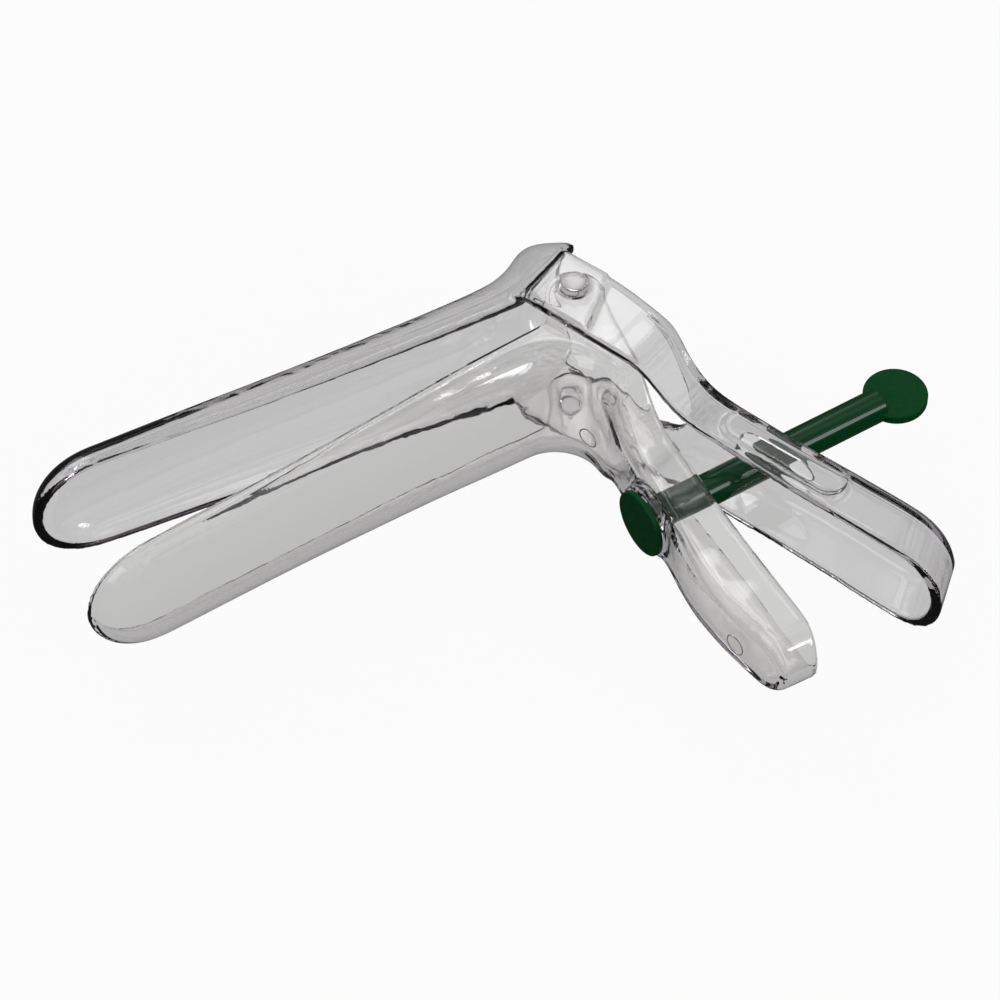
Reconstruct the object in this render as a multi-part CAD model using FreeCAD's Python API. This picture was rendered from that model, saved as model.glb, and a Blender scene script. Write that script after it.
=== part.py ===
# Bivalve speculum, moulded in clear plastic, with a turning locking rod.
# Three separate mouldings: the lower valve, the upper valve and the rod.
# Units are millimetres.  +Z is the pivot axis and the origin is on that axis, at the
# flat end of the lower stud.  The blades run towards -X, the handles to +X and -Y.
# Each piece is drawn about the middle plane, z = 0, and lifted at the end.
import FreeCAD
import Part
import math
import os

V = FreeCAD.Vector
Z = V(0, 0, 1)

# Hinge
STUD_R = 2.4                # moulded pivot stud on the lower valve
STUD_PROUD = 1.45           # how far the stud stands out of the upper valve's cheek
STUD_FIT = 0.08             # radial clearance of the stud in its hole
STUD_CHAMFER = 0.3
EAR_GAP = 0.3               # between the lower valve's ear and the upper valve's cheek
EAR_R = 5.0                 # round end of the lower valve's ear
CHEEK_WALL = 1.7
CHEEK_PAD = 0.35            # raised flat round the stud hole
PAD_EDGE = 0.7              # from that flat to the cheek's edges
SEAM_OFF = 6.4              # pivot to the seam between hood and cheek
SEAM_DIR = 54.3             # direction of that seam in plan
SEAM_LAP = 2.8              # the cheek runs this far into the hood
SEAM_STEP = 0.35            # the cheek stands this far proud of the hood

# Blades
BLADE_HALF = 14.0           # half width of both blades at the hinge
BLADE_WALL = 1.8
TIP_ROUND = 14.0            # length over which a blade tip rounds off
UP_LEN = 100.0              # pivot to tip, upper valve
UP_DIR = 205.2              # direction of the upper blade in plan, degrees
UP_RIM = 2.65               # gap from the pivot to its rim plane
HOOD_OVER = 5.0             # the hood reaches this far past the pivot
LOW_LEN = 100.7
LOW_DIR = 214.7
LOW_RIM = 2.23

# Upper handle
UP_HANDLE_DIR = -39.0
UP_HANDLE_WALL = 1.6
UP_FRONT = 7.2              # free edge of the flanges in front of the pivot line
UP_HANDLE_LEN = 79.6        # pivot to the end wall, measured on the web
UP_END_LEAN = 0.4           # lean of the end wall, length per depth
MOUTH_SIDE = 12.5           # where the mouth's edge leaves the cheeks
MOUTH_DIP = 12.5            # how much farther the mouth reaches in the middle
MOUTH_CLEAN = 0.05          # the mouth's sides are cut this deep into the cheeks
PAD_LEN = 24.5
PAD_WIDTH = 6.2
PAD_TOP = 9.5               # pad face above the middle plane
PAD_AT = 47.2               # pivot to the middle of the pad
PAD_SIDE = -2.2

# Lower handle
LOW_HANDLE_DIR = -60.8
LOW_HANDLE_WALL = 1.6
LOW_HANDLE_END = 80.2       # pivot to the end wall
BEND_START = 15.0           # where the blade's back starts to bend into the web
BEND_R = 7.14
BEND_LAST = 26.0            # direction of the open side at the end of the bend

# Locking rod
ROD_R = 3.0
ROD_FIT = 0.08              # radial clearance in the boss
ROD_AT = (10.6, -39.7)      # middle of the head's outer face, in plan
ROD_DIR = 32.3
ROD_LEN = 49.8              # head's outer face to the end of the round shaft
HEAD_R = 6.0
HEAD_T = 1.1
HEAD_EDGE = 0.25
HEAD_GAP = 0.05             # between the head and the boss it turns on
PADDLE_R = 5.7
PADDLE_T = 1.8
PADDLE_EDGE = 0.3
PADDLE_AT = 53.5            # head's outer face to the middle of the paddle
BOSS_R = 6.6
BOSS_T = 0.8
SLOT_FIT = 0.3              # round the rod in the upper handle's slot
OPEN_DEG = 18.0             # the upper valve turns this far to open the blades
CLOSE_DEG = 12.0            # and this far to close them

CHEEK_IN = BLADE_HALF + EAR_GAP
CHEEK_OUT = CHEEK_IN + CHEEK_WALL
CHEEK_FACE = CHEEK_OUT + CHEEK_PAD
STUD_END = CHEEK_FACE + STUD_PROUD

# Profiles along each valve: (distance from the pivot, size)
HOOD_HALF = CHEEK_OUT - SEAM_STEP
UP_HALVES = [(-HOOD_OVER, HOOD_HALF), (-2, HOOD_HALF - 0.1), (2, HOOD_HALF - 0.6), (6, BLADE_HALF + 0.4),
             (10, BLADE_HALF), (20, 13.3), (40, 12.3), (60, 11.7), (86, 11.4)]
UP_DEPTHS = [(-HOOD_OVER, 14.4), (-3, 15.8), (-1, 16.9), (1, 17.3), (2.5, 16.7), (4.2, 15.1),
             (7, 13.2), (11, 11.6), (20, 10.6), (28, 10.2), (47, 9.3), (66, 8.6), (86, 7.4)]
UP_WIDTHS = [(-12, CHEEK_OUT), (18, CHEEK_OUT), (21, 15.0), (24.7, 12.2), (28.5, 10.0), (33, 9.2),
             (41, 9.0), (50, 8.7), (60, 8.8), (68, 9.0), (74, 8.9)]
UP_WALLS = [(-12, CHEEK_WALL), (18, CHEEK_WALL), (26, UP_HANDLE_WALL), (90, UP_HANDLE_WALL)]
UP_WEBS = [(-12, 6.9), (3, 6.8), (7, 6.6), (11, 6.1), (15, 5.5), (18, 4.9), (21.5, 3.4),
           (25, 2.6), (31, 2.3), (42, 2.4), (52, 2.8), (60, 3.0), (70, 3.0), (80, 2.9)]
LOW_HALVES = [(0, BLADE_HALF), (20, BLADE_HALF), (40, 13.0), (66, 11.9), (87, 11.6)]
LOW_DEPTHS = [(0, 8.6), (15, 8.4), (35, 7.5), (60, 6.8), (87, 6.4)]
LOW_WIDTHS = [(17, BLADE_HALF), (20.5, 13.4), (23.2, 10.2), (25.6, 8.3), (28.4, 7.4), (33, 7.2),
              (41, 6.9), (46, 6.4), (50, 6.2), (60, 6.2), (68, 6.4), (74, 6.5)]
LOW_WEBS = [(15, -6.0), (20, -6.1), (28.4, -7.0), (35, -7.9), (40, -8.2), (46, -8.4), (52, -9.3),
            (58.6, -9.8), (64.5, -9.4), (69.7, -8.6), (74, -7.8), (80, -6.8)]


def rad(a):
    return math.radians(a)


def direction(a):
    return V(math.cos(rad(a)), math.sin(rad(a)), 0)


def smooth(keys, x):
    """Monotone cubic through (x, y) keys."""
    n = len(keys)
    if x <= keys[0][0]:
        return keys[0][1]
    if x >= keys[-1][0]:
        return keys[-1][1]
    d = []
    for i in range(n - 1):
        d.append((keys[i + 1][1] - keys[i][1]) / (keys[i + 1][0] - keys[i][0]))
    m = [d[0]]
    for i in range(1, n - 1):
        if d[i - 1] * d[i] <= 0:
            m.append(0.0)
        else:
            m.append(2 * d[i - 1] * d[i] / (d[i - 1] + d[i]))
    m.append(d[-1])
    for i in range(n - 1):
        x0, y0 = keys[i]
        x1, y1 = keys[i + 1]
        if x <= x1:
            h = x1 - x0
            t = (x - x0) / h
            a = (1 + 2 * t) * (1 - t) ** 2 * y0
            b = t * (1 - t) ** 2 * h * m[i]
            c = t * t * (3 - 2 * t) * y1
            e = t * t * (t - 1) * h * m[i + 1]
            return a + b + c + e
    return keys[-1][1]


# Closed solids through U sections

def spread(count, degree):
    """Clamped even knots for a curve with this many poles."""
    inner = count - degree
    knots = [i / inner for i in range(inner + 1)]
    mults = [degree + 1] + [1] * (inner - 1) + [degree + 1]
    return knots, mults


def u_points(p, n, half, depth, rx, rp):
    """Poles of a U section.  p is the middle of the web, n points to the open side."""
    side = []
    for i in range(6):
        side.append((depth + (rp - depth) * i / 5.0, half))
    for i in range(1, 6):
        a = i / 6.0 * math.pi / 2
        down = rp - rp * min(1.0, 1.035 * math.sin(a))
        out = half - rx + rx * min(1.0, 1.035 * math.cos(a))
        side.append((down, out))
    for i in range(4):
        side.append((0.0, (half - rx) * (1 - i / 4.0)))
    full = side + [(0.0, 0.0)] + [(d, -z) for d, z in reversed(side)]
    return [p + n * d + Z * z for d, z in full]


def surface(grid, udeg, vdeg):
    uk, um = spread(len(grid), udeg)
    vk, vm = spread(len(grid[0]), vdeg)
    s = Part.BSplineSurface()
    s.buildFromPolesMultsKnots(grid, um, vm, uk, vk, False, False, udeg, vdeg)
    return s.toShape()


def curve(points):
    k, m = spread(len(points), 3)
    c = Part.BSplineCurve()
    c.buildFromPolesMultsKnots(points, m, k, False, 3)
    return c.toShape()


def loft(grid):
    """Closed solid through U sections, with a lid straight across and flat ends."""
    faces = [surface(grid, 3, 3), surface([[g[0], g[-1]] for g in grid], 3, 1)]
    for g in (grid[0], grid[-1]):
        faces.append(Part.Face(Part.Wire([curve(g), Part.makeLine(g[-1], g[0])])))
    shell = Part.Shell(faces)
    shell.sewShape()
    solid = Part.Solid(shell)
    if solid.Volume < 0:
        solid.reverse()
    return solid


def tip_scale(s, start, end):
    """1 before the end starts to round, then down to nothing like an ellipse."""
    if s <= start:
        return 1.0
    u = min(1.0, (s - start) / (end - start))
    return math.sqrt(max(0.0, 1 - u ** 2.3))


def closing(start, end):
    """Stations that crowd towards a rounded end."""
    return [start + (end - start) * math.sin(i / 11.0 * math.pi / 2 * 0.985) for i in range(1, 12)]


def steps(a, b, step):
    count = max(1, int(round((b - a) / step)))
    return [a + (b - a) * i / count for i in range(count)]


def prism(edges, z0, z1):
    """Upright prism over a closed plan outline given as edges at z = 0."""
    face = Part.Face(Part.Wire(edges))
    face.translate(V(0, 0, z0))
    return face.extrude(V(0, 0, z1 - z0))


def polygon(points, z0, z1):
    pts = [V(p[0], p[1], z0) for p in points]
    return Part.Face(Part.makePolygon(pts + [pts[0]])).extrude(V(0, 0, z1 - z0))


def stadium(middle, along, length, width, z0, z1):
    """Upright prism with round ends."""
    r = width / 2.0
    half = length / 2.0 - r
    side = V(-along.y, along.x, 0)
    a = middle + along * half
    b = middle - along * half
    edges = [
        Part.makeLine(a + side * r, b + side * r),
        Part.Arc(b + side * r, b - along * r, b - side * r).toShape(),
        Part.makeLine(b - side * r, a - side * r),
        Part.Arc(a - side * r, a + along * r, a + side * r).toShape(),
    ]
    return prism(edges, z0, z1)


def disc(middle, axis, radius, thick, edge):
    """Flat round disc with softened edges, its first face on middle."""
    body = Part.makeCylinder(radius, thick, middle, axis)
    rims = [e for e in body.Edges if isinstance(e.Curve, Part.Circle)]
    return body.makeFillet(edge, rims)


# Upper valve

def up_blade(offset, over, first):
    along = direction(UP_DIR)
    opening = direction(UP_DIR + 90)
    start = UP_LEN - TIP_ROUND
    end = UP_LEN - offset
    grid = []
    stations = steps(first, 16, 2.0) + steps(16, start, 6.0) + [start] + closing(start, end)
    for s in stations:
        f = tip_scale(s, start, end)
        half = max((smooth(UP_HALVES, s) - offset) * f, 0.5)
        depth = max((smooth(UP_DEPTHS, s) - offset) * f, 0.4)
        web = along * s - opening * (UP_RIM + depth)
        grid.append(u_points(web, opening, half, depth + over, half * 0.94, depth * 0.88))
    return loft(grid)


def up_channel(hollow, over, first):
    along = direction(UP_HANDLE_DIR)
    opening = direction(UP_HANDLE_DIR - 90)
    start = UP_HANDLE_LEN - 9.0
    end = UP_HANDLE_LEN - (UP_HANDLE_WALL if hollow else 0)
    grid = []
    for t in steps(first, start, 2.5) + [start] + closing(start, end):
        wall = smooth(UP_WALLS, t) if hollow else 0
        half = max((smooth(UP_WIDTHS, t) - wall) * tip_scale(t, start, end), 0.5)
        back = smooth(UP_WEBS, t) - wall
        lean = UP_END_LEAN * min(1.0, max(0.0, (t - start + 25) / 25.0))
        slant = opening + along * lean
        corner = 2.4 - 0.6 * wall
        depth = back + UP_FRONT + over
        rx = min(corner, half * 0.94)
        grid.append(u_points(along * t - opening * back, slant, half, depth, rx, corner))
    return loft(grid)


def seam_point(t, m):
    """Plan point t along the seam and m away from the pivot."""
    return direction(SEAM_DIR) * t + direction(SEAM_DIR + 90) * m


def up_blade_shell():
    shell = up_blade(0, 1.5, -HOOD_OVER).cut(up_blade(BLADE_WALL, 3.0, -HOOD_OVER - 3))
    along = direction(UP_DIR)
    back = direction(UP_DIR - 90)
    rim_far = along * (UP_LEN + 20) + back * UP_RIM
    # where the rim plane meets the seam
    away = direction(SEAM_DIR + 90)
    s = (SEAM_OFF - UP_RIM * back.dot(away)) / along.dot(away)
    corner = along * s + back * UP_RIM
    keep = polygon([rim_far, corner, corner + direction(SEAM_DIR) * 60,
                    corner + direction(SEAM_DIR) * 60 + back * 60, rim_far + back * 60], -30, 30)
    return shell.common(keep)


def mouth_cutter():
    """Opens the space between the cheeks down to the handle's web."""
    along = direction(UP_HANDLE_DIR)
    back = direction(UP_HANDLE_DIR + 90)
    z = CHEEK_IN + MOUTH_CLEAN

    def at(t, h):
        return along * t - back * 20 + Z * h

    arc = []
    for i in range(9):
        h = i / 4.0 - 1.0
        arc.append(at(MOUTH_SIDE + MOUTH_DIP * (1 - h * h), z * h))
    side = Part.BSplineCurve()
    side.interpolate(arc)
    edges = [side.toShape(), Part.makeLine(at(MOUTH_SIDE, z), at(-30, z)),
             Part.makeLine(at(-30, z), at(-30, -z)), Part.makeLine(at(-30, -z), at(MOUTH_SIDE, -z))]
    return Part.Face(Part.Wire(edges)).extrude(back * 40)


def up_arm():
    """Cheeks, neck and channel handle of the upper valve."""
    arm = up_channel(False, 1.5, -16).cut(up_channel(True, 3.0, -19))
    t0 = UP_HANDLE_DIR
    front = direction(t0 - 90) * UP_FRONT
    along = direction(t0)
    keep = polygon([along * -40 + front, along * 110 + front, along * 110 - front * 5,
                    along * -40 - front * 5], -30, 30)
    arm = arm.common(keep)
    # left end of the cheeks, lapping into the hood
    near = seam_point(-60, SEAM_OFF + SEAM_LAP)
    far = seam_point(60, SEAM_OFF + SEAM_LAP)
    out = direction(SEAM_DIR + 90) * 60
    arm = arm.cut(polygon([near, far, far + out, near + out], -30, 30))
    arm = arm.cut(mouth_cutter())
    for side in (1, -1):
        arm = arm.cut(seam_wedge(side))
    return arm


def seam_wedge(side):
    """Slopes the cheek's end down into the hood."""
    a = seam_point(-60, SEAM_OFF) + Z * side * (CHEEK_OUT + 0.01)
    b = seam_point(-60, SEAM_OFF + 6) + Z * side * (CHEEK_OUT + 0.01)
    c = seam_point(-60, SEAM_OFF + 6) + Z * side * (CHEEK_OUT - 5)
    face = Part.Face(Part.makePolygon([a, b, c, a]))
    return face.extrude(direction(SEAM_DIR) * 120)


def cheek_pad(side):
    """Raised flat round the stud hole, between the seam and a straight step."""
    along = direction(UP_HANDLE_DIR)
    back = direction(UP_HANDLE_DIR + 90)
    front = PAD_EDGE - UP_FRONT
    rear = smooth(UP_WEBS, 0) - PAD_EDGE
    pts = [seam_point(front + 1.0, SEAM_OFF - PAD_EDGE), seam_point(rear, SEAM_OFF - PAD_EDGE),
           along * 2.9 + back * rear, along * 7.6 + back * front, along * -2.4 + back * front]
    z0 = CHEEK_IN + 0.4 if side > 0 else -CHEEK_FACE
    z1 = CHEEK_FACE if side > 0 else -CHEEK_IN - 0.4
    return polygon(pts, z0, z1)


def slot_cutter():
    """Slot in the upper web, long enough for every angle of the hinge."""
    gap = abs(ROD_AT[0] * math.sin(rad(ROD_DIR)) - ROD_AT[1] * math.cos(rad(ROD_DIR)))
    rest = UP_HANDLE_DIR + 90 - ROD_DIR
    lo = rad(max(0.0, rest - OPEN_DEG))
    hi = rad(rest + CLOSE_DEG)
    r = ROD_R + SLOT_FIT
    web = smooth(UP_WEBS, gap / math.cos(hi))
    t0 = gap / math.cos(lo) - r / math.cos(lo)
    t1 = gap / math.cos(hi) + web * math.tan(hi) + r / math.cos(hi)
    along = direction(UP_HANDLE_DIR)
    back = direction(UP_HANDLE_DIR + 90)
    origin = along * t0 - back * 4

    def at(t, h):
        return origin + along * (t - t0) + Z * h

    edges = [
        Part.makeLine(at(t0 + r, r), at(t1 - r, r)),
        Part.Arc(at(t1 - r, r), at(t1, 0), at(t1 - r, -r)).toShape(),
        Part.makeLine(at(t1 - r, -r), at(t0 + r, -r)),
        Part.Arc(at(t0 + r, -r), at(t0, 0), at(t0 + r, r)).toShape(),
    ]
    return Part.Face(Part.Wire(edges)).extrude(back * 20)


def upper_valve():
    body = up_blade_shell().fuse(up_arm())
    for side in (1, -1):
        body = body.fuse(cheek_pad(side))
    along = direction(UP_HANDLE_DIR)
    back = direction(UP_HANDLE_DIR + 90)
    pad = stadium(along * PAD_AT + back * PAD_SIDE, along, PAD_LEN, PAD_WIDTH,
                  smooth(UP_WIDTHS, PAD_AT) - 1.0, PAD_TOP)
    body = body.fuse(pad)
    hole = Part.makeCylinder(STUD_R + STUD_FIT, 60, V(0, 0, -30))
    body = body.cut(hole)
    body = body.cut(slot_cutter())
    return body.removeSplitter()


# Lower valve

def low_sections(hollow, over):
    wall_b = BLADE_WALL if hollow else 0
    along = direction(LOW_DIR)
    opening = direction(LOW_DIR - 90)
    start = LOW_LEN - TIP_ROUND
    end = LOW_LEN - wall_b
    grid = []
    tip = [s for s in reversed([start] + closing(start, end))]
    run = [s for s in reversed(steps(BEND_START, start, 6.0)[1:])]
    for s in tip + run + [BEND_START]:
        f = tip_scale(s, start, end)
        half = max((smooth(LOW_HALVES, s) - wall_b) * f, 0.5)
        depth = max((smooth(LOW_DEPTHS, s) - wall_b) * f, 0.4)
        web = along * s - opening * (LOW_RIM + depth)
        rx = half * (0.94 if s > 30 else 0.94 - 0.2 * (30 - s) / 15.0)
        top = depth + over
        grid.append(u_points(web, opening, half, top, rx, depth * 0.88))
    # bend: the sections fan out round the bend's centre
    first = LOW_DIR - 90
    outer = smooth(LOW_DEPTHS, BEND_START)
    centre = along * BEND_START - opening * (LOW_RIM + outer + BEND_R)
    count = 9
    for i in range(1, count):
        u = i / float(count)
        n = direction(first + (BEND_LAST - first) * u)
        wall = BLADE_WALL + (LOW_HANDLE_WALL - BLADE_WALL) * u if hollow else 0
        half = BLADE_HALF - wall
        rx = half * (0.74 - 0.28 * u)
        grow = math.sin(min(1.0, u * 1.25) * math.pi)
        top = 8.8 + over - wall + 16.5 * max(0.0, grow) + 2.5 * u
        grid.append(u_points(centre + n * (BEND_R + wall), n, half, top, rx, 7.6 - 2.6 * u - wall * 0.6))
    # handle
    axis = direction(LOW_HANDLE_DIR)
    fixed = LOW_HANDLE_DIR + 90
    t_end = LOW_HANDLE_END - (LOW_HANDLE_WALL if hollow else 0)
    t_start = LOW_HANDLE_END - 7.0
    for t in steps(20.5, t_start, 2.2) + [t_start] + closing(t_start, t_end):
        wall = LOW_HANDLE_WALL if hollow else 0
        turn = BEND_LAST + (fixed - BEND_LAST) * min(1.0, (t - 20.0) / 8.0)
        n = direction(turn)
        half = max((smooth(LOW_WIDTHS, t) - wall) * tip_scale(t, t_start, t_end), 0.5)
        web = axis * t + direction(fixed) * (smooth(LOW_WEBS, t) + wall)
        big = smooth([(20, 6.0), (27, 3.0), (34, 2.4)], t) - 0.6 * wall
        top = 12.5 + over - wall
        grid.append(u_points(web, n, half, top, min(big, half * 0.94), big))
    return loft(grid)


def low_outline():
    """Everything in front of the free edges: rim, ear and rear edge of the handle."""
    along = direction(LOW_DIR)
    opening = direction(LOW_DIR - 90)
    rim = opening * -LOW_RIM
    foot = along * (EAR_R + 4.6) + rim
    a0 = rad(172)
    a1 = rad(15)
    ear0 = V(EAR_R * math.cos(a0), EAR_R * math.sin(a0), 0)
    ear1 = V(EAR_R * math.cos(a1), EAR_R * math.sin(a1), 0)
    far = along * (LOW_LEN + 25) + rim
    rise = [foot, foot - along * 1.1, V(-EAR_R - 0.25, -5.0, 0), V(-EAR_R - 0.1, -2.2, 0), ear0]
    fall = [ear1]
    for x, y in ((5.2, -0.2), (6.3, -4.3), (8.5, -9.9), (11.0, -15.7), (13.8, -21.5),
                 (16.6, -26.9), (20.8, -34.5), (27.1, -45.8), (33.3, -56.9), (36.7, -62.6),
                 (38.8, -67.0), (39.8, -71.0), (40.4, -76.0), (41.0, -90.0)):
        fall.append(V(x, y, 0))
    end = fall[-1]
    edges = [
        Part.makeLine(far, foot),
        curve(rise),
        Part.Arc(ear0, V(0, EAR_R, 0), ear1).toShape(),
        curve(fall),
        Part.makeLine(end, V(-110, -110, 0)),
        Part.makeLine(V(-110, -110, 0), far),
    ]
    return prism(edges, -30, 30)


def rod_point(d):
    return V(ROD_AT[0], ROD_AT[1], 0) + direction(ROD_DIR) * d


def lower_valve():
    body = low_sections(False, 1.0).cut(low_sections(True, 3.0))
    body = body.common(low_outline())
    axis = direction(ROD_DIR)
    boss = Part.makeCylinder(BOSS_R, BOSS_T + LOW_HANDLE_WALL, rod_point(HEAD_T + HEAD_GAP), axis)
    body = body.fuse(boss)
    body = body.cut(Part.makeCylinder(ROD_R + ROD_FIT, 14, rod_point(-2), axis))
    for side in (1, -1):
        root = BLADE_HALF - BLADE_WALL * 0.75
        stud = Part.makeCylinder(STUD_R, STUD_END - root, V(0, 0, side * root), Z * side)
        end = [e for e in stud.Edges if isinstance(e.Curve, Part.Circle)
               and abs(abs(e.Curve.Center.z) - STUD_END) < 0.001]
        body = body.fuse(stud.makeChamfer(STUD_CHAMFER, end))
    return body.removeSplitter()


# Locking rod

def locking_rod():
    axis = direction(ROD_DIR)
    head = disc(rod_point(0), axis, HEAD_R, HEAD_T, HEAD_EDGE)
    shaft = Part.makeCylinder(ROD_R, ROD_LEN - HEAD_T * 0.5, rod_point(HEAD_T * 0.5), axis)
    paddle = disc(rod_point(PADDLE_AT) - Z * (PADDLE_T / 2), Z, PADDLE_R, PADDLE_T, PADDLE_EDGE)
    return head.fuse(shaft).fuse(paddle).removeSplitter()


def save(shape, name):
    """Lifts the piece so that the lower stud ends at z = 0, and writes it."""
    shape = shape.Solids[0] if len(shape.Solids) == 1 else shape
    shape.translate(V(0, 0, STUD_END))
    print(name, shape.isValid(), len(shape.Solids), len(shape.Faces), round(shape.Volume, 1))
    shape.exportStep("parts/" + name + ".step")


os.makedirs("parts", exist_ok=True)
save(upper_valve(), "upper_valve")
save(lower_valve(), "lower_valve")
save(locking_rod(), "locking_rod")
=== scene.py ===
# A clear moulded speculum with a dark green locking rod, lying on a white table.
import math

import bpy
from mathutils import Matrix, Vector


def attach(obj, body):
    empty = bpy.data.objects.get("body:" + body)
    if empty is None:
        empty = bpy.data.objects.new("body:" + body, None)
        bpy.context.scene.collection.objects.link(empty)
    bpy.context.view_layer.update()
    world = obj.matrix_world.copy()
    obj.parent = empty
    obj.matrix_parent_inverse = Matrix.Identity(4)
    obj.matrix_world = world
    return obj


MM = 0.001

# Camera: it looks at the hinge from in front and above.
PIVOT = Vector((0, 0, 17.8)) * MM      # the hinge's axis at the middle plane
LOOK_DOWN = 51.0                       # degrees below the horizon
REACH = 0.700                          # camera to the hinge, along the view
SCALE = 5700.0                         # pixels per metre at the hinge
HINGE_PIXEL = (573, 348)
IMAGE = 1000

# Table and room
TABLE_HALF = 3.0                       # metres
TABLE_WHITE = 0.95                     # share of the table that is plain white
THROUGH_SEES = 0.68                    # the white seen through the clear plastic
THROUGH_LEAST = 0.22                   # the same, for rays that leave upwards
GLOSS_SEES = 0.06                      # the white that a gloss reflects
NEARLY_BLACK = 0.01

# Lamps: name, place, where it points, its two sides, and its power in watts
AWAY = 0.9                             # metres from the middle of the object
MIDDLE = Vector((0, -20, 18)) * MM
LAMPS = [
    ("right", Vector((0.625, -0.379, 0.426)), Vector((0.035, -0.025, 0.018)), (0.16, 0.3), 1.5),
    ("back_left", MIDDLE + AWAY * Vector((-0.55, 0.55, 0.63)), MIDDLE, (0.30, 0.55), 1.2),
    ("back_right", MIDDLE + AWAY * Vector((-0.01, 0.66, 0.75)), MIDDLE, (0.15, 0.45), 0.55),
    ("front_left", MIDDLE + AWAY * Vector((-0.62, -0.45, 0.64)), MIDDLE, (0.4, 0.5), 1.0),
]

# Rod: where its axis starts, its direction, and where its parts end along it
ROD_START = Vector((10.6, -39.7, 17.8)) * MM
ROD_AXIS = Vector((0.845262, 0.534352, 0))
HEAD_ENDS = 1.2 * MM
SHAFT_ENDS = 48.2 * MM
SHAFT_DARK = (0.0004, 0.030, 0.007)
SHAFT_LIGHT = (0.0004, 0.042, 0.011)
ENDS_DARK = (0.0002, 0.032, 0.006)
ENDS_LIGHT = (0.0002, 0.052, 0.011)
SHARP_DEG = 35                         # edges sharper than this stay sharp

# Clear plastic: the tint of each valve and the direction of its blade
PLASTIC_IOR = 1.5
LOWER_TINT = (0.92, 0.92, 0.905)
UPPER_TINT = (0.92, 0.92, 0.91)
LOWER_FLOW = 214.7                     # degrees from +X
UPPER_FLOW = 205.2
FINE = 0.32 * MM                       # size of the mesh that is rendered
ROUNDING = 11                          # passes that soften the moulded edges

# Marks of the mould pins: place and outward direction, in millimetres
MARK_R = 1.9
MARK_THICK = 0.12
MARK_STEPS = 64
MARK_SIDES = 8
MARKS = [
    ("mark_handle", (26.07, -64.49, 16.95), (-0.78, -0.63, 0)),
    ("mark_throat", (2.55, -17.72, 14.5), (-0.67, -0.74, 0)),
]


def add(name, data):
    """New object in the scene."""
    obj = bpy.data.objects.new(name, data)
    bpy.context.scene.collection.objects.link(obj)
    return obj


def camera():
    data = bpy.data.cameras.new("camera")
    cam = add("camera", data)
    down = math.radians(LOOK_DOWN)
    ahead = Vector((0, math.cos(down), -math.sin(down)))
    up = Vector((0, math.sin(down), math.cos(down)))
    right = Vector((1, 0, 0))
    dx = (HINGE_PIXEL[0] - IMAGE / 2) / SCALE
    dy = (IMAGE / 2 - HINGE_PIXEL[1]) / SCALE
    cam.location = PIVOT - ahead * REACH - right * dx - up * dy
    cam.rotation_euler = (math.radians(90 - LOOK_DOWN), 0, 0)
    data.sensor_width = 36.0
    data.lens = 36.0 * SCALE * REACH / IMAGE
    data.clip_start = 0.01
    data.clip_end = 20.0
    bpy.context.scene.camera = cam


def softbox(name, place, target, size, power):
    data = bpy.data.lights.new(name, "AREA")
    data.shape = "RECTANGLE"
    data.size, data.size_y = size
    data.energy = power
    lamp = add(name, data)
    lamp.location = place
    lamp.rotation_euler = (target - place).to_track_quat("-Z", "Y").to_euler()


def node(tree, kind, **inputs):
    """New node, with the values of its sockets by name."""
    made = tree.nodes.new(kind)
    for name, value in inputs.items():
        made.inputs[name.replace("_", " ")].default_value = value
    return made


def calculate(tree, operation, first, second):
    """Socket with the result of an operation on two sockets or numbers."""
    made = tree.nodes.new("ShaderNodeMath")
    made.operation = operation
    for socket, value in zip(made.inputs, (first, second)):
        if isinstance(value, float):
            socket.default_value = value
        else:
            tree.links.new(value, socket)
    return made.outputs[0]


def seen_brightness(tree):
    """White to the camera, and softer through the clear plastic and in a gloss."""
    path = tree.nodes.new("ShaderNodeLightPath")
    gloss = calculate(tree, "MULTIPLY", path.outputs["Is Glossy Ray"], GLOSS_SEES)
    clear = calculate(tree, "MULTIPLY", path.outputs["Is Transmission Ray"], THROUGH_SEES)
    nearer = calculate(tree, "MAXIMUM", clear, gloss)
    return calculate(tree, "MAXIMUM", path.outputs["Is Camera Ray"], nearer)


def table_material():
    mat = bpy.data.materials.new("table")
    mat.use_nodes = True
    tree = mat.node_tree
    tree.nodes.clear()
    out = tree.nodes.new("ShaderNodeOutputMaterial")
    plain = node(tree, "ShaderNodeBsdfDiffuse", Color=(0.5, 0.5, 0.5, 1))
    white = node(tree, "ShaderNodeEmission", Color=(1, 1, 1, 1))
    bright = seen_brightness(tree)
    tree.links.new(bright, white.inputs["Strength"])
    seen = calculate(tree, "GREATER_THAN", bright, NEARLY_BLACK)
    part = calculate(tree, "MULTIPLY", seen, TABLE_WHITE)
    mix = tree.nodes.new("ShaderNodeMixShader")
    tree.links.new(part, mix.inputs[0])
    tree.links.new(plain.outputs[0], mix.inputs[1])
    tree.links.new(white.outputs[0], mix.inputs[2])
    tree.links.new(mix.outputs[0], out.inputs["Surface"])
    return mat


def table():
    mesh = bpy.data.meshes.new("table")
    r = TABLE_HALF
    mesh.from_pydata([(-r, -r, 0), (r, -r, 0), (r, r, 0), (-r, r, 0)], [], [(0, 1, 2, 3)])
    mesh.materials.append(table_material())
    add("table", mesh)


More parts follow.
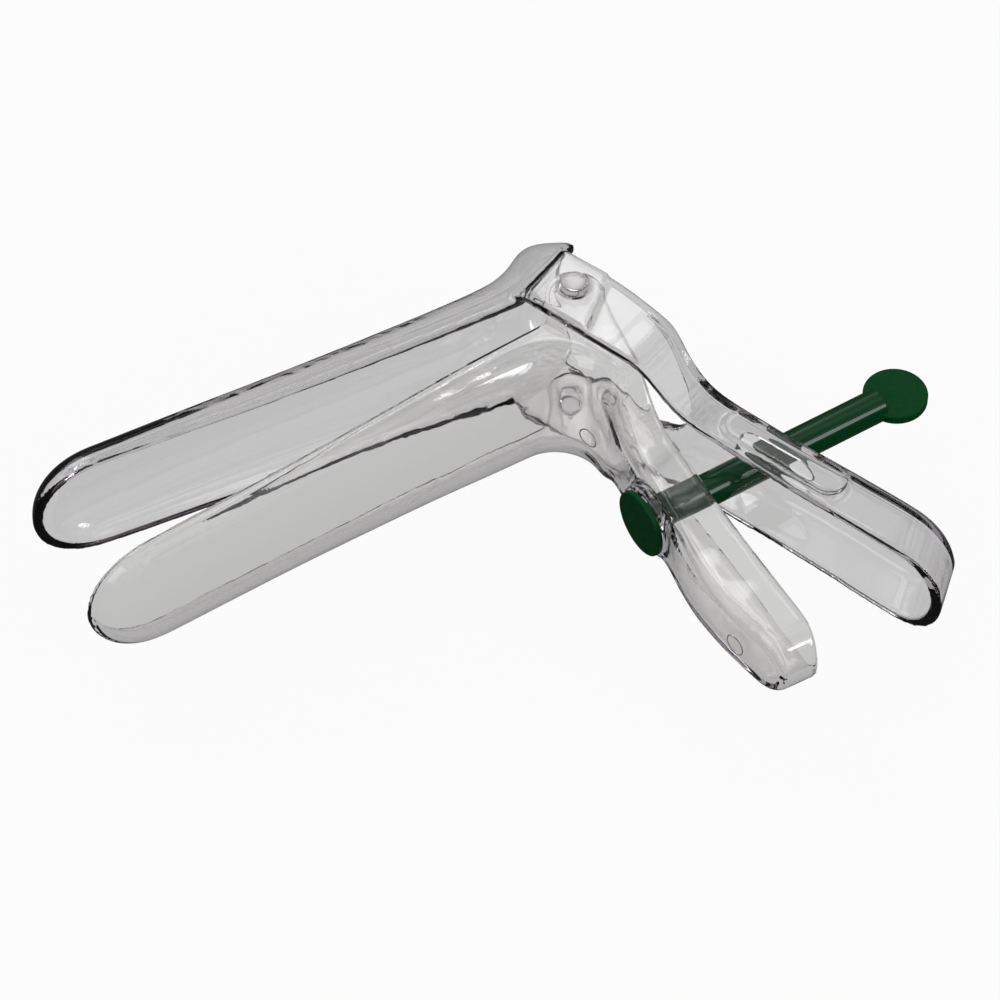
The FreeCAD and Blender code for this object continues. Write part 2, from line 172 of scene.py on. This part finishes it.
def room():
    """White behind the object; to reflections a dim cloudy room, brightest overhead."""
    world = bpy.data.worlds.new("room")
    world.use_nodes = True
    tree = world.node_tree
    tree.nodes.clear()
    out = tree.nodes.new("ShaderNodeOutputWorld")
    white = node(tree, "ShaderNodeBackground", Color=(1, 1, 1, 1), Strength=1.0)
    dim = tree.nodes.new("ShaderNodeBackground")
    place = tree.nodes.new("ShaderNodeTexCoord")
    parts = tree.nodes.new("ShaderNodeSeparateXYZ")
    ramp = tree.nodes.new("ShaderNodeValToRGB")
    ramp.color_ramp.elements[0].position = 0.44
    ramp.color_ramp.elements[0].color = (0.10, 0.10, 0.105, 1)
    ramp.color_ramp.elements[1].position = 0.54
    ramp.color_ramp.elements[1].color = (0.98, 0.99, 1.0, 1)
    clouds = node(tree, "ShaderNodeTexNoise", Scale=9.0, Detail=3.0, Roughness=0.5)
    clouds.noise_dimensions = "4D"
    clouds.inputs["W"].default_value = 4.1
    tree.links.new(place.outputs["Generated"], clouds.inputs["Vector"])
    tree.links.new(place.outputs["Generated"], parts.inputs[0])
    tree.links.new(clouds.outputs["Fac"], ramp.inputs["Fac"])
    tree.links.new(ramp.outputs["Color"], dim.inputs["Color"])
    height = node(tree, "ShaderNodeMapRange", From_Min=0.1, From_Max=0.8, To_Min=0.15, To_Max=1.5)
    tree.links.new(parts.outputs["Z"], height.inputs["Value"])
    tree.links.new(height.outputs[0], dim.inputs["Strength"])
    low = node(tree, "ShaderNodeMapRange", From_Min=0.1, From_Max=0.3, To_Min=1.0, To_Max=0.0)
    tree.links.new(parts.outputs["Z"], low.inputs["Value"])
    path = tree.nodes.new("ShaderNodeLightPath")
    fading = calculate(tree, "MULTIPLY", low.outputs[0], THROUGH_SEES)
    behind = calculate(tree, "MAXIMUM", fading, THROUGH_LEAST)
    clear = calculate(tree, "MULTIPLY", path.outputs["Is Transmission Ray"], behind)
    seen = calculate(tree, "MAXIMUM", path.outputs["Is Camera Ray"], clear)
    mix = tree.nodes.new("ShaderNodeMixShader")
    tree.links.new(seen, mix.inputs[0])
    tree.links.new(dim.outputs[0], mix.inputs[1])
    tree.links.new(white.outputs[0], mix.inputs[2])
    tree.links.new(mix.outputs[0], out.inputs["Surface"])
    bpy.context.scene.world = world


def studio():
    room()
    for lamp in LAMPS:
        softbox(*lamp)
    bpy.context.scene.view_settings.view_transform = "Standard"


def clear_plastic(name, tint, flow):
    """Polished clear plastic, smoky where thick, with faint waves along the flow."""
    mat = bpy.data.materials.new(name)
    mat.use_nodes = True
    tree = mat.node_tree
    shader = tree.nodes["Principled BSDF"]
    shader.inputs["Base Color"].default_value = (*tint, 1)
    shader.inputs["Roughness"].default_value = 0.03
    shader.inputs["IOR"].default_value = PLASTIC_IOR
    shader.inputs["Transmission Weight"].default_value = 1.0
    smoke = node(tree, "ShaderNodeVolumeAbsorption", Color=(0.52, 0.48, 0.53, 1), Density=100.0)
    tree.links.new(smoke.outputs[0], tree.nodes["Material Output"].inputs["Volume"])
    place = tree.nodes.new("ShaderNodeTexCoord")
    along = tree.nodes.new("ShaderNodeMapping")
    along.inputs["Rotation"].default_value = (0, 0, math.radians(-flow))
    along.inputs["Scale"].default_value = (12, 90, 90)
    noise = node(tree, "ShaderNodeTexNoise", Scale=1.0, Detail=2.0, Roughness=0.4)
    bump = node(tree, "ShaderNodeBump", Strength=0.2, Distance=0.0008)
    tree.links.new(place.outputs["Object"], along.inputs["Vector"])
    tree.links.new(along.outputs["Vector"], noise.inputs["Vector"])
    tree.links.new(noise.outputs["Fac"], bump.inputs["Height"])
    tree.links.new(bump.outputs["Normal"], shader.inputs["Normal"])
    return mat


def rod_plastic(name, dark, light, roughness, gloss, grain):
    """Dark green plastic with a fine grain."""
    mat = bpy.data.materials.new(name)
    mat.use_nodes = True
    tree = mat.node_tree
    shader = tree.nodes["Principled BSDF"]
    shader.inputs["Roughness"].default_value = roughness
    shader.inputs["IOR"].default_value = PLASTIC_IOR
    shader.inputs["Specular IOR Level"].default_value = gloss
    place = tree.nodes.new("ShaderNodeTexCoord")
    noise = node(tree, "ShaderNodeTexNoise", Scale=900.0, Detail=3.0)
    ramp = tree.nodes.new("ShaderNodeValToRGB")
    ramp.color_ramp.elements[0].color = (*dark, 1)
    ramp.color_ramp.elements[1].color = (*light, 1)
    bump = node(tree, "ShaderNodeBump", Strength=grain, Distance=0.00005)
    tree.links.new(place.outputs["Object"], noise.inputs["Vector"])
    tree.links.new(noise.outputs["Fac"], ramp.inputs["Fac"])
    tree.links.new(noise.outputs["Fac"], bump.inputs["Height"])
    tree.links.new(ramp.outputs["Color"], shader.inputs["Base Color"])
    tree.links.new(bump.outputs["Normal"], shader.inputs["Normal"])
    return mat


def dress_rod(obj):
    """Polished shaft; satin head and paddle."""
    polished = rod_plastic("rod_shaft", SHAFT_DARK, SHAFT_LIGHT,
                           roughness=0.1, gloss=0.18, grain=0.05)
    satin = rod_plastic("rod_ends", ENDS_DARK, ENDS_LIGHT,
                        roughness=0.5, gloss=0.08, grain=0.5)
    dress(obj, polished)
    obj.data.materials.append(satin)
    for polygon in obj.data.polygons:
        polygon.use_smooth = True
        along = (polygon.center - ROD_START).dot(ROD_AXIS)
        polygon.material_index = int(along < HEAD_ENDS or along > SHAFT_ENDS)
    obj.data.set_sharp_from_angle(angle=math.radians(SHARP_DEG))


def moulded(obj):
    """Even fine mesh with slightly rounded edges, as a moulding has."""
    remesh = obj.modifiers.new("even", "REMESH")
    remesh.mode = "VOXEL"
    remesh.voxel_size = FINE
    remesh.use_smooth_shade = True
    soften = obj.modifiers.new("soften", "SMOOTH")
    soften.factor = 0.5
    soften.iterations = ROUNDING


def dress(obj, material):
    obj.data.materials.clear()
    obj.data.materials.append(material)


def mark(name, place, outward, material):
    """Thin ring that a mould pin leaves on the lower valve."""
    outward = Vector(outward).normalized()
    up = Vector((0, 0, 1))
    side = outward.cross(up)
    points = []
    faces = []
    for i in range(MARK_STEPS):
        turn = 2 * math.pi * i / MARK_STEPS
        away = side * math.cos(turn) + up * math.sin(turn)
        for j in range(MARK_SIDES):
            bend = 2 * math.pi * j / MARK_SIDES
            edge = away * math.cos(bend) + outward * math.sin(bend)
            points.append((Vector(place) + away * MARK_R + edge * MARK_THICK) * MM)
            a = i * MARK_SIDES + j
            b = i * MARK_SIDES + (j + 1) % MARK_SIDES
            c = ((i + 1) % MARK_STEPS) * MARK_SIDES
            faces.append((a, c + j, c + (j + 1) % MARK_SIDES, b))
    mesh = bpy.data.meshes.new(name)
    mesh.from_pydata(points, [], faces)
    mesh.polygons.foreach_set("use_smooth", [True] * len(faces))
    mesh.materials.append(material)
    ring = add(name, mesh)
    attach(ring, "lower_valve")


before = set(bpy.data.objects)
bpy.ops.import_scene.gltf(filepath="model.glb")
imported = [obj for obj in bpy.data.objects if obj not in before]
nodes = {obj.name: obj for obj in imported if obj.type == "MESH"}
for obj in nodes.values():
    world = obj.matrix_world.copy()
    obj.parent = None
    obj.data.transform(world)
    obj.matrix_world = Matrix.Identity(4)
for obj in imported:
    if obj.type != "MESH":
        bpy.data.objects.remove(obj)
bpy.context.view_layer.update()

clear_lower = clear_plastic("clear_lower", LOWER_TINT, LOWER_FLOW)
clear_upper = clear_plastic("clear_upper", UPPER_TINT, UPPER_FLOW)
dress(nodes["lower_valve"], clear_lower)
dress(nodes["upper_valve"], clear_upper)
dress_rod(nodes["locking_rod"])
moulded(nodes["lower_valve"])
moulded(nodes["upper_valve"])
for name, place, outward in MARKS:
    mark(name, place, outward, clear_lower)

table()
studio()
camera()
